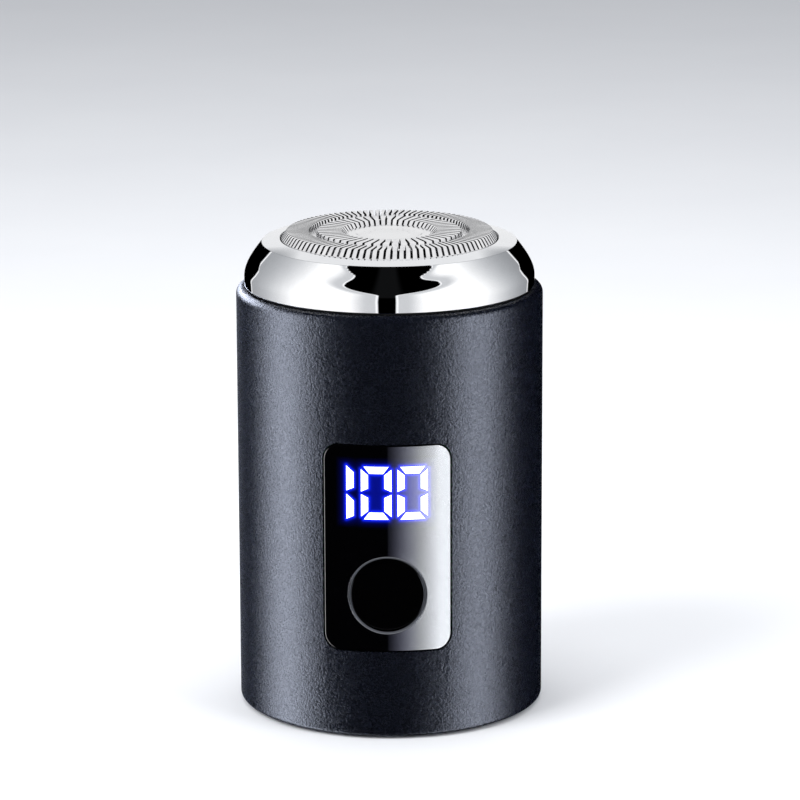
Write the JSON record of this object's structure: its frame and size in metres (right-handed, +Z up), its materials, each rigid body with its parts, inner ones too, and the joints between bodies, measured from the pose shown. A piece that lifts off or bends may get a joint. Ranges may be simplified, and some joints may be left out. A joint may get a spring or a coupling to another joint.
{
  "type": "electric shaver",
  "caption": "Pocket rotary shaver: upright cylinder with a chrome lift-off head, slotted round foil, round power button and lit digit display.",
  "frame": {"origin": "middle of the base, on the surface that the shaver stands on", "axes": "+Z up along the body's axis, -Y towards the display and the power button"},
  "size_m": [0.045, 0.045, 0.0709],
  "materials": {
    "sleeve": "charcoal, fine leather grain",
    "black_plastic": "black, fine spark texture",
    "seal_rubber": "black silicone",
    "screw_steel": "zinc plated",
    "lens": "smoked black, polished",
    "tape": "black adhesive foam",
    "bright_trim": "satin chrome",
    "button_black": "piano black",
    "component_black": "moulded epoxy",
    "segment_white": "lit white with a blue edge",
    "segment_dark": "unlit diffuser",
    "board_green": "green solder mask",
    "component_tan": "ceramic",
    "port_steel": "drawn stainless",
    "contact_gold": "gold flash",
    "frame_plastic": "natural white",
    "cell_wrap": "blue shrink sleeve",
    "nickel_strip": "nickel",
    "foam": "grey foam",
    "wire_red": "insulated wire",
    "wire_black": "insulated wire",
    "motor_steel": "zinc plated, drawn",
    "ferrite": "ferrite",
    "bronze": "sintered bronze",
    "shaft_steel": "ground",
    "core_iron": "stacked laminations",
    "copper": "copper",
    "drive_plastic": "white acetal",
    "spring_steel": "spring wire",
    "magnet_nickel": "nickel plated",
    "head_chrome": "mirror polished",
    "foil_steel": "ground and lapped",
    "foil_polished": "polished",
    "carrier_plastic": "dark grey acetal",
    "blade_steel": "hardened stainless"
  },
  "bodies": {
    "root": {"outer_sleeve": "sleeve", "base_cap": "black_plastic", "base_seal": "seal_rubber", "base_screws": "screw_steel", "rubber_foot": "seal_rubber", "display_lens": "lens", "lens_tape": "tape", "button_ring": "bright_trim", "switch_body": "component_black", "display_module": "component_black", "lit_segments": "segment_white", "unlit_segments": "segment_dark", "main_board": "board_green", "board_screws": "screw_steel", "board_chips": "component_black", "small_components": "component_tan", "usb_shell": "port_steel", "usb_tongue": "component_black", "usb_contacts": "contact_gold", "inner_frame": "frame_plastic", "battery_cell": "cell_wrap", "battery_tabs": "nickel_strip", "foam_pad": "foam", "battery_lead_red": "wire_red", "battery_lead_black": "wire_black", "motor_can": "motor_steel", "motor_end_cap": "frame_plastic", "motor_terminals": "contact_gold", "motor_magnets": "ferrite", "motor_bushes": "bronze", "motor_screws": "screw_steel", "motor_lead_red": "wire_red", "motor_lead_black": "wire_black", "hair_pocket": "black_plastic", "pocket_seal": "seal_rubber", "pocket_magnets": "magnet_nickel", "pocket_screws": "screw_steel", "shaft_seal": "seal_rubber", "head_gasket": "seal_rubber"},
    "head": {"head_ring": "head_chrome", "head_liner": "black_plastic", "head_magnets": "magnet_nickel", "retaining_frame": "black_plastic"},
    "foil": {"outer_foil": "foil_steel", "foil_centre_cap": "foil_polished"},
    "cutter": {"cutter_carrier": "carrier_plastic", "cutter_blades": "blade_steel"},
    "rotor": {"motor_shaft": "shaft_steel", "motor_armature": "core_iron", "motor_windings": "copper", "commutator": "copper", "drive_coupling": "drive_plastic"},
    "spindle": {"drive_spindle": "drive_plastic", "drive_spring": "spring_steel"},
    "button": {"power_button": "button_black"},
    "plunger": {"switch_plunger": "component_black"}
  },
  "joints": [
    {"name": "head_lift", "type": "slide", "parent": "root", "child": "head", "axis": [0, 0, 1], "range_m": [0, 0.025]},
    {"name": "foil_float", "type": "slide", "parent": "head", "child": "foil", "axis": [0, 0, 1], "range_m": [-0.0008, 0], "stiffness_N_per_m": 300, "springref_m": 0.004},
    {"name": "cutter_spin", "type": "hinge", "parent": "foil", "child": "cutter", "pos_m": [0, 0, 0.06], "axis": [0, 0, 1], "continuous": true},
    {"name": "motor_spin", "type": "hinge", "parent": "root", "child": "rotor", "pos_m": [0, 0, 0.06], "axis": [0, 0, 1], "continuous": true},
    {"name": "spindle_slide", "type": "slide", "parent": "rotor", "child": "spindle", "axis": [0, 0, 1], "range_m": [-0.0008, 0], "deforming": ["drive_spring"]},
    {"name": "button_press", "type": "slide", "parent": "root", "child": "button", "axis": [0, 1, 0], "range_m": [0, 0.00035], "stiffness_N_per_m": 300, "springref_m": -0.001},
    {"name": "plunger_press", "type": "slide", "parent": "root", "child": "plunger", "axis": [0, 1, 0], "range_m": [0, 0.00035]}
  ],
  "couplings": [
    {"joint": "cutter_spin", "follows": "motor_spin", "ratio": 1},
    {"joint": "spindle_slide", "follows": "foil_float", "ratio": 1},
    {"joint": "plunger_press", "follows": "button_press", "ratio": 1}
  ]
}
